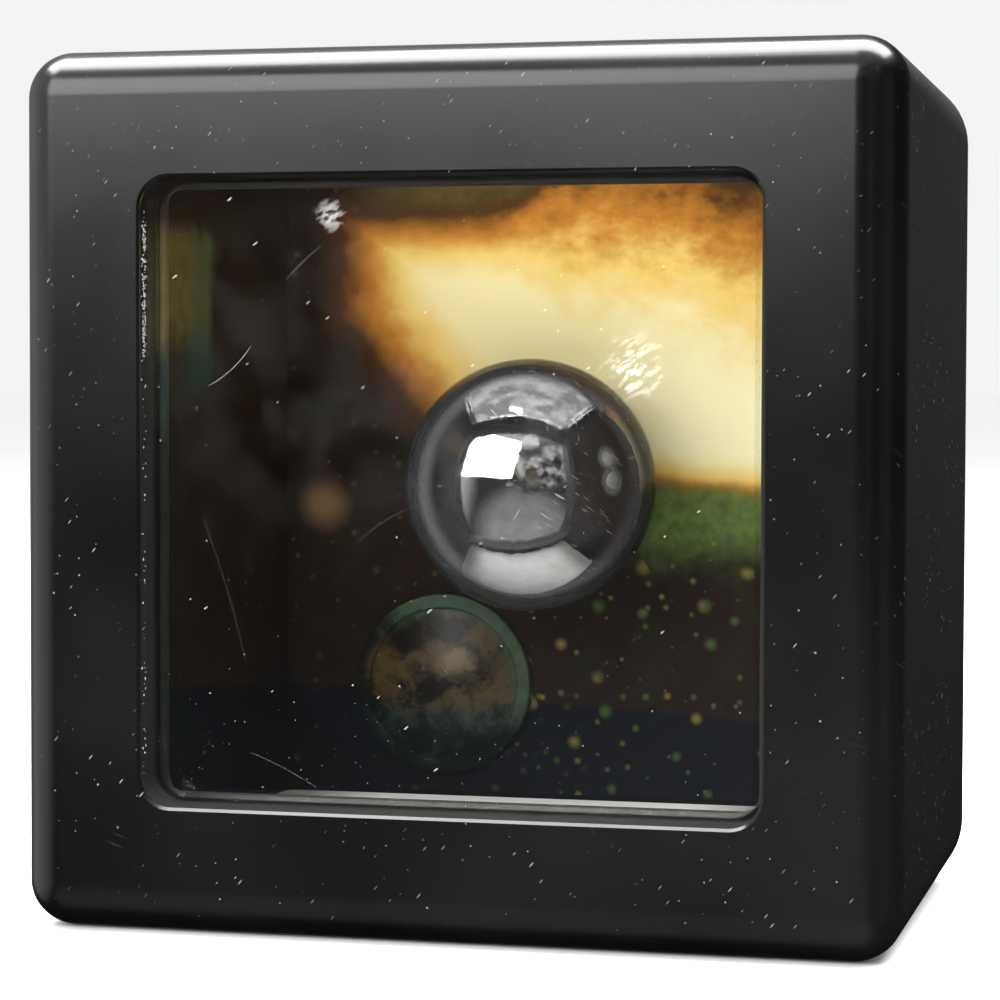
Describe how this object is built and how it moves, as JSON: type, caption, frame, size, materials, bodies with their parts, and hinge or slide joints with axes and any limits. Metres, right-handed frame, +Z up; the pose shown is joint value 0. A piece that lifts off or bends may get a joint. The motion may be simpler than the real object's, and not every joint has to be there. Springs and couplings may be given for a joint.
{
  "type": "radiometer head",
  "caption": "Black near-cubic radiometer head with glass windows in front and top, a polished ball, a gold mirror and lens inside, and a chopper wheel behind.",
  "frame": {"origin": "centre of the underside", "axes": "+Z up, +Y from the front window to the rear cover, +X to the right seen from the front"},
  "size_m": [0.0624, 0.0428, 0.062],
  "materials": {
    "black_housing": "satin black with fine hairline scratches",
    "window_glass": "polished, lightly scratched",
    "gasket_rubber": "matt",
    "chamber_black": "dull brown-black paint",
    "white_tile": "matt white",
    "gold_mirror": "interference coating, gold to green and blue",
    "aluminium_plate": "satin",
    "polished_steel": "mirror polish",
    "bright_steel": "bright",
    "brass_fittings": "machined",
    "coated_lens": "green and amber coating",
    "black_anodised": "satin anodised",
    "circuit_board": "solder resist",
    "black_moulding": "matt",
    "amber_film": "polyimide film"
  },
  "bodies": {
    "head": {"housing": "black_housing", "rear_cover": "black_housing", "front_window": "window_glass", "top_window": "window_glass", "front_gasket": "gasket_rubber", "top_gasket": "gasket_rubber", "left_baffle": "chamber_black", "right_baffle": "chamber_black", "floor_plate": "chamber_black", "reference_tile": "white_tile", "mirror_plate": "gold_mirror", "bulkhead": "aluminium_plate", "polished_ball": "polished_steel", "ball_stem": "bright_steel", "stem_washer": "bright_steel", "chopper_motor": "bright_steel", "cover_screw_1": "bright_steel", "cover_screw_2": "bright_steel", "cover_screw_3": "bright_steel", "cover_screw_4": "bright_steel", "stem_nut": "brass_fittings", "detector": "brass_fittings", "socket_contacts": "brass_fittings", "standoff_1": "brass_fittings", "standoff_2": "brass_fittings", "standoff_3": "brass_fittings", "standoff_4": "brass_fittings", "detector_lens": "coated_lens", "port_lens_upper": "coated_lens", "port_lens_lower": "coated_lens", "lens_ring": "black_anodised", "main_board": "circuit_board", "side_board": "circuit_board", "amplifier_chip": "black_moulding", "driver_chip": "black_moulding", "output_socket": "black_moulding", "port_diode_upper": "black_moulding", "port_diode_lower": "black_moulding", "insulator_film": "amber_film", "side_ribbon": "amber_film"},
    "chopper": {"chopper_disc": "black_anodised", "chopper_hub": "brass_fittings", "chopper_shaft": "bright_steel"}
  },
  "joints": [
    {"name": "chopper_spin", "type": "hinge", "parent": "head", "child": "chopper", "pos_m": [-0.0152, 0.0165, 0.01907], "axis": [0, 1, 0], "continuous": true}
  ]
}
